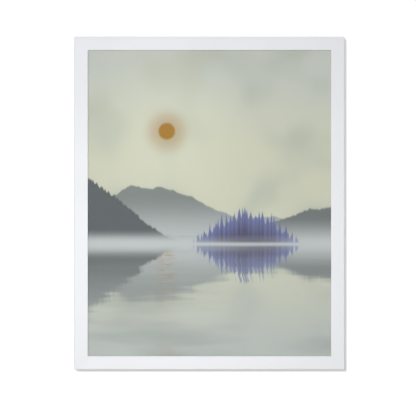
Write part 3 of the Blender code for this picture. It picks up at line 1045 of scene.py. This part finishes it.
def recess_shape(hardware, top):
    """The cross that a driver fits, narrower at its bottom. Half of it stands over the head."""
    width, depth = hardware.recess_width, hardware.recess_depth
    bm = bmesh.new()
    bmesh.ops.create_cube(bm, size=1, matrix=Matrix.Diagonal((width, width, depth * 2, 1)))
    bm.normal_update()
    reach = (hardware.recess_length - width) / 2
    for face in [f for f in bm.faces if abs(f.normal.z) < 0.5]:
        way = face.normal.copy()
        made = bmesh.ops.extrude_discrete_faces(bm, faces=[face])["faces"]
        bmesh.ops.translate(bm, vec=way * reach, verts=made[0].verts)
    narrower = (hardware.recess_taper, hardware.recess_taper, 1)
    bmesh.ops.scale(bm, vec=narrower, verts=[v for v in bm.verts if v.co.z < 0])
    bmesh.ops.recalc_face_normals(bm, faces=bm.faces)
    return placed(bm, Matrix.Translation((0, 0, top)))


def screw_shape(hardware, head_radius, head_height):
    """A round-headed screw, with the underside of its head at z = 0 and its point down."""
    rim, depth, arris = hardware.dome_rim, hardware.shank_length, hardware.arris
    dome = arc((0, 0), 1, 0, 90, 9)[:-1]
    root = hardware.shank_radius - hardware.thread_depth
    neck = root + 2 * arris
    profile = [(0, -depth), (root, hardware.point_length - depth), (root, -2 * arris), (neck, 0)]
    profile += [(head_radius - arris, 0), (head_radius, arris)]
    profile += [(head_radius * across, rim + (head_height - rim) * up) for across, up in dome]
    bm = combined(spun([*profile, (0, head_height)]), [recess_shape(hardware, head_height)])
    return combined(bm, [thread_shape(hardware)], "UNION")


def add_screws(hardware):
    """The screw of every turn button and the two of the hanger."""
    metal = zinc_plate(hardware)
    nodes = nodes_with("screw")
    low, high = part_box(nodes[0])
    head = high.y - low.y - hardware.shank_length
    screw = screw_shape(hardware, (high.x - low.x) / 2, head)
    for node in nodes:
        low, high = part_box(node)
        place = on_the_back_of(low, high, high.y - head)
        add_piece(f"threaded_{node}", screw.copy(), node, [metal], place)
    screw.free()


def saw_shape(hardware, width, height):
    """A cutter for the hanger's notches, with the middle one at x = 0 and rounded roots. Between two
    notches it comes out of the strip, so that each tooth ends in a narrow flat."""
    pitch, depth, root = hardware.tooth_pitch, hardware.tooth_depth, hardware.tooth_root
    edge, start = -width / 2, -hardware.notches * pitch / 2
    low, outside = edge - 2 * depth, edge - pitch * 0.09
    points = [(start, low)]
    for i in range(hardware.notches):
        bottom = (start + (i + 0.5) * pitch, edge + depth - root)
        points += [(start + i * pitch, outside), *arc(bottom, root, 150, 30, 4)]
    points += [(-start, outside), (-start, low)]
    return extruded([(x, y, -OVERCUT) for x, y in points], (0, 0, height * 2))


def hanger_shape(hardware, run, width, rise, thickness):
    """The toothed strip, bent at four lines so that its middle stands out from its two tabs."""
    end = run / 2
    foot = end - hardware.tab
    top = foot - hardware.ramp
    under = [(-end, 0), (-foot, 0), (-top, rise), (top, rise), (foot, 0), (end, 0)]
    section = under + [(x, z + thickness) for x, z in reversed(under)]
    bm = extruded([(x, -width / 2, z) for x, z in section], (0, width, 0))
    folds = [e for e in bm.edges if not is_level(e) and not near(abs(e.verts[0].co.x), end)]
    bevelled(bm, folds, hardware.fold_radius, 4)
    corners = [e for e in edges_where(bm.edges, lambda v: near(abs(v.x), end)) if is_level(e)]
    bevelled(bm, corners, width / 3, 8)
    cutters = [saw_shape(hardware, width, rise + thickness)]
    for side in (-1, 1):
        hole = drill(hardware.hole_radius, -thickness, 2 * thickness)
        cutters.append(placed(hole, Matrix.Translation((side * (end - hardware.tab / 2), 0, 0))))
    return combined(bm, cutters)


def add_hanger(hardware):
    low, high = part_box("sawtooth_hanger")
    run, deep, width = high - low
    thickness = hardware.hanger_thickness
    bm = hanger_shape(hardware, run, width, deep - thickness, thickness)
    bevelled(bm, sharp_edges(bm), hardware.hanger_arris, 2)
    place = on_the_back_of(low, high, low.y)
    metal = zinc_plate(hardware)
    add_piece("toothed_hanger", bm, "sawtooth_hanger", [metal], place)


def corner_nail_shape(hardware, box):
    """A bent strip driven across a mitre, with its bend towards the frame's corner."""
    low, high = box
    side_x, _, side_z = (math.copysign(1, v) for v in (low + high) / 2 - CENTRE)
    bend_x = high.x if side_x > 0 else low.x
    bend_z = high.z if side_z > 0 else low.z
    leg, thickness = hardware.nail_leg, hardware.nail_thickness
    corners = ((0, 0), (leg, 0), (leg, thickness), (thickness, thickness), (thickness, leg), (0, leg))
    points = [(bend_x - side_x * x, low.y, bend_z - side_z * z) for x, z in corners]
    bm = extruded(points, (0, BACK_Y + hardware.nail_proud - low.y, 0))
    # the bend's outer line and its inner one, each with its radius
    for inset, radius in ((0, thickness * 1.2), (thickness, thickness * 0.5)):
        x, z = bend_x - side_x * inset, bend_z - side_z * inset
        bevelled(bm, edges_where(bm.edges, lambda v: near(v.x, x) and near(v.z, z)), radius, 5)
    bmesh.ops.recalc_face_normals(bm, faces=bm.faces)
    return bm


def add_corner_nails(hardware):
    metal = zinc_plate(hardware)
    top, chamfer = BACK_Y + hardware.nail_proud, hardware.nail_thickness * 0.15
    for node in nodes_with("v_nail"):
        bm = corner_nail_shape(hardware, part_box(node))
        bevelled(bm, edges_where(bm.edges, lambda v: near(v.y, top)), chamfer, 1)
        add_piece(f"driven_{node}", bm, node, [metal])


def felt_shape(pads, radius, thickness, seed):
    """A disc cut from felt, with soft rims and fine and coarse lumps in its surface."""
    rings = [(radius * i / 8, 0) for i in range(7)]
    lower = rings + arc((radius - pads.rim, pads.rim), pads.rim, -90, 0, 5)
    bm = spun(lower + [(r, thickness - h) for r, h in reversed(lower)], 64)
    bm.normal_update()
    fine, coarse = 1600, 500
    for vert in bm.verts:
        bump = noise.noise(vert.co * fine + Vector((seed, 0, 0))) + noise.noise(vert.co * coarse)
        vert.co += vert.normal * min(bump - 1, 0) * pads.fuzz * 0.5
    return bm


def add_felt_pads(pads):
    felt = grey_felt(pads)
    for seed, node in enumerate(("felt_pad_left", "felt_pad_right")):
        low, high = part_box(node)
        bm = felt_shape(pads, (high.x - low.x) / 2, high.y - low.y, seed * 7)
        place = on_the_back_of(low, high, low.y)
        add_piece(f"cut_{node}", bm, node, [felt], place)


# Studio

def one_sided(name, tone, lift):
    """A matt grey surface that only a camera in front of it sees, so that it hides nothing from behind."""
    material, tree = new_material(name)
    seen = add_node(tree, "LightPath").outputs["Is Camera Ray"]
    behind = add_node(tree, "NewGeometry").outputs["Backfacing"]
    shown = times(tree, seen, minus(tree, 1, behind))
    inputs = {"Base Color": (tone, tone, tone, 1), "Roughness": 1.0, "Specular IOR Level": 0.0}
    inputs |= {"Emission Color": (1, 1, 1, 1), "Emission Strength": lift}
    through = add_node(tree, "BsdfTransparent").outputs[0]
    return surfaced(material, mixed_shaders(tree, shown, through, principled(tree, inputs)))


def add_ground(name, material, size, matrix):
    """A plane that isn't part of the object, with its front the way that the matrix turns +Z."""
    bm = bmesh.new()
    bmesh.ops.create_grid(bm, x_segments=1, y_segments=1, size=size)
    obj = new_object(name, new_mesh(name, bm))
    obj.data.materials.append(material)
    obj.matrix_world = matrix
    return obj


def add_light(name, place, size, energy):
    """A round light that points at the frame. No ray that the glass bends meets it: the shadow rays,
    which go straight through the glass, have counted its light already."""
    light = bpy.data.lights.new(name, "AREA")
    light.shape = "DISK"
    light.size = size
    light.energy = energy
    lamp = new_object(name, light)
    lamp.location = place
    lamp.rotation_euler = (CENTRE - lamp.location).to_track_quat("-Z", "Y").to_euler()
    lamp.visible_transmission = False
    return lamp


def link_light(lamp, obj, state):
    """Makes a light leave an object out, with EXCLUDE, or light nothing else, with INCLUDE."""
    linked = bpy.data.collections.new(f"{lamp.name}_{state.lower()}")
    linked.objects.link(obj)
    linked.collection_objects[0].light_linking.link_state = state
    lamp.light_linking.receiver_collection = linked


def add_lights(studio, wall):
    """The key light, once for the wall and once for the frame, and the soft lights that leave the wall
    out."""
    across = math.tan(studio.key_tilt)
    key_place = CENTRE + Vector((-across, -1, across)) * studio.key_distance
    link_light(add_light("wall_light", key_place, studio.key_size, studio.wall_power), wall, "INCLUDE")
    link_light(add_light("key_light", key_place, studio.key_size, studio.key_power), wall, "EXCLUDE")
    # name, place from the frame's middle, diameter, power
    for name, offset, size, energy in (
        ("front_light", (0, -studio.distance, 0), 0.5, studio.front_power),
        ("fill_light", (-0.1, -0.9, -0.1), 0.5, studio.fill_power),
        ("left_light", (-2.2, 0.1, 0.5), 0.7, studio.side_power),
        ("right_light", (2.2, 0.1, 0.5), 0.7, studio.side_power),
        ("top_light", (0, 0.1, 2.2), 0.7, studio.side_power),
        ("low_light", (0, 0.1, -2.2), 0.7, studio.side_power * 0.6),
    ):
        lamp = add_light(name, CENTRE + Vector(offset), size, energy)
        lamp.visible_glossy = False
        link_light(lamp, wall, "EXCLUDE")
    add_light("back_light", CENTRE + Vector((1.4, 2.1, 2.3)), 1.8, studio.back_power)


def add_world(strength):
    """An even pale world, which the camera sees as pure white."""
    world = bpy.data.worlds.new("pale_world")
    world.use_nodes = True
    tree = world.node_tree
    tree.nodes.clear()
    seen = add_node(tree, "LightPath").outputs["Is Camera Ray"]
    lit = add_node(tree, "Background", {"Strength": strength}).outputs[0]
    shown = add_node(tree, "Background", {"Color": (1, 1, 1, 1), "Strength": 1.0}).outputs[0]
    fill(tree, add_node(tree, "OutputWorld").inputs["Surface"], mixed_shaders(tree, seen, lit, shown))
    bpy.context.scene.world = world


def add_camera(studio):
    """The camera, which stands square in front of the frame."""
    data = bpy.data.cameras.new("front_camera")
    data.lens = studio.lens
    data.sensor_width = 36
    data.clip_start = 0.1
    data.clip_end = 30
    camera = new_object("front_camera", data)
    camera.location = (studio.camera_across, FRONT_Y - studio.distance, CENTRE.z + studio.camera_up)
    camera.rotation_euler = (math.pi / 2, 0, 0)
    bpy.context.scene.camera = camera


def add_studio(studio):
    """The wall just behind the frame, the floor, the lights and the camera.

    Glossy filtering stays off: it would blur the light that leaves the print through the glass, and so
    count the lights a second time.
    """
    scene = bpy.context.scene
    scene.cycles.blur_glossy = 0
    scene.view_settings.view_transform = "Standard"
    facing = Matrix.Translation((0, 0.0005, CENTRE.z)) @ Matrix.Rotation(math.pi / 2, 4, "X")
    plain_wall = one_sided("plain_wall", studio.wall_tone, studio.wall_lift)
    wall = add_ground("studio_wall", plain_wall, 2.0, facing)
    plain_floor = one_sided("plain_floor", studio.floor_tone, studio.floor_lift)
    below = Matrix.Translation((0, 0, CENTRE.z - studio.floor_drop))
    add_ground("studio_floor", plain_floor, 6.0, below)
    add_lights(studio, wall)
    add_world(studio.world)
    add_camera(studio)


# Operators

class PieceOperator:
    """What every operator here shares."""

    bl_options = {"REGISTER", "UNDO"}


class FRAMED_PRINT_OT_rails(PieceOperator, bpy.types.Operator):
    """Make the four mitred rails"""

    bl_idname = "framed_print.rails"
    bl_label = "Rails"

    def execute(self, context):
        add_rails(context.scene.framed_print.rails, context.scene.framed_print.hardware)
        return {"FINISHED"}


class FRAMED_PRINT_OT_glazing(PieceOperator, bpy.types.Operator):
    """Make the glass and the foam board behind the print"""

    bl_idname = "framed_print.glazing"
    bl_label = "Glass and Foam Board"

    def execute(self, context):
        add_glazing(context.scene.framed_print.glass)
        return {"FINISHED"}


class FRAMED_PRINT_OT_sheet(PieceOperator, bpy.types.Operator):
    """Make the printed sheet"""

    bl_idname = "framed_print.sheet"
    bl_label = "Print"

    def execute(self, context):
        add_print(context.scene.framed_print.picture)
        return {"FINISHED"}


class FRAMED_PRINT_OT_backing(PieceOperator, bpy.types.Operator):
    """Make the hardboard back"""

    bl_idname = "framed_print.backing"
    bl_label = "Backing"

    def execute(self, context):
        add_backing(context.scene.framed_print.backing)
        return {"FINISHED"}


class FRAMED_PRINT_OT_turn_buttons(PieceOperator, bpy.types.Operator):
    """Make the turn buttons that hold the backing in"""

    bl_idname = "framed_print.turn_buttons"
    bl_label = "Turn Buttons"

    def execute(self, context):
        add_turn_buttons(context.scene.framed_print.hardware)
        return {"FINISHED"}


class FRAMED_PRINT_OT_screws(PieceOperator, bpy.types.Operator):
    """Make the screws of the turn buttons and the hanger"""

    bl_idname = "framed_print.screws"
    bl_label = "Screws"

    def execute(self, context):
        add_screws(context.scene.framed_print.hardware)
        return {"FINISHED"}


class FRAMED_PRINT_OT_hanger(PieceOperator, bpy.types.Operator):
    """Make the sawtooth hanger"""

    bl_idname = "framed_print.hanger"
    bl_label = "Hanger"

    def execute(self, context):
        add_hanger(context.scene.framed_print.hardware)
        return {"FINISHED"}


class FRAMED_PRINT_OT_corner_nails(PieceOperator, bpy.types.Operator):
    """Make the V-nails across the mitres"""

    bl_idname = "framed_print.corner_nails"
    bl_label = "V-Nails"

    def execute(self, context):
        add_corner_nails(context.scene.framed_print.hardware)
        return {"FINISHED"}


class FRAMED_PRINT_OT_felt_pads(PieceOperator, bpy.types.Operator):
    """Make the felt pads behind the lower corners"""

    bl_idname = "framed_print.felt_pads"
    bl_label = "Felt Pads"

    def execute(self, context):
        add_felt_pads(context.scene.framed_print.pads)
        return {"FINISHED"}


class FRAMED_PRINT_OT_studio(PieceOperator, bpy.types.Operator):
    """Set up the wall, the floor, the lights and the camera"""

    bl_idname = "framed_print.studio"
    bl_label = "Studio"

    def execute(self, context):
        add_studio(context.scene.framed_print.studio)
        return {"FINISHED"}


OPERATORS = (
    FRAMED_PRINT_OT_studio,
    FRAMED_PRINT_OT_rails,
    FRAMED_PRINT_OT_glazing,
    FRAMED_PRINT_OT_sheet,
    FRAMED_PRINT_OT_backing,
    FRAMED_PRINT_OT_turn_buttons,
    FRAMED_PRINT_OT_screws,
    FRAMED_PRINT_OT_hanger,
    FRAMED_PRINT_OT_corner_nails,
    FRAMED_PRINT_OT_felt_pads,
)


class FRAMED_PRINT_PT_pieces(bpy.types.Panel):
    """The frame's pieces, with the sizes and colours that they are made to"""

    bl_idname = "FRAMED_PRINT_PT_pieces"
    bl_label = "Framed Print"
    bl_space_type = "VIEW_3D"
    bl_region_type = "UI"
    bl_category = "Framed Print"

    def draw(self, context):
        settings = context.scene.framed_print
        for operator in OPERATORS:
            self.layout.operator(operator.bl_idname)
        for group in settings.__annotations__:
            box = self.layout.box()
            box.label(text=group.title())
            values = getattr(settings, group)
            for name in values.__annotations__:
                box.prop(values, name)


SETTINGS = (
    RailSettings,
    GlassSettings,
    PictureSettings,
    BackingSettings,
    HardwareSettings,
    PadSettings,
    StudioSettings,
    FramedPrintSettings,
)
CLASSES = (*SETTINGS, *OPERATORS, FRAMED_PRINT_PT_pieces)


def register():
    for cls in CLASSES:
        bpy.utils.register_class(cls)
    bpy.types.Scene.framed_print = PointerProperty(type=FramedPrintSettings)


def unregister():
    del bpy.types.Scene.framed_print
    for cls in reversed(CLASSES):
        bpy.utils.unregister_class(cls)


def main():
    register()
    for operator in OPERATORS:
        group, name = operator.bl_idname.split(".")
        getattr(getattr(bpy.ops, group), name)()


if __name__ == "__main__":
    main()
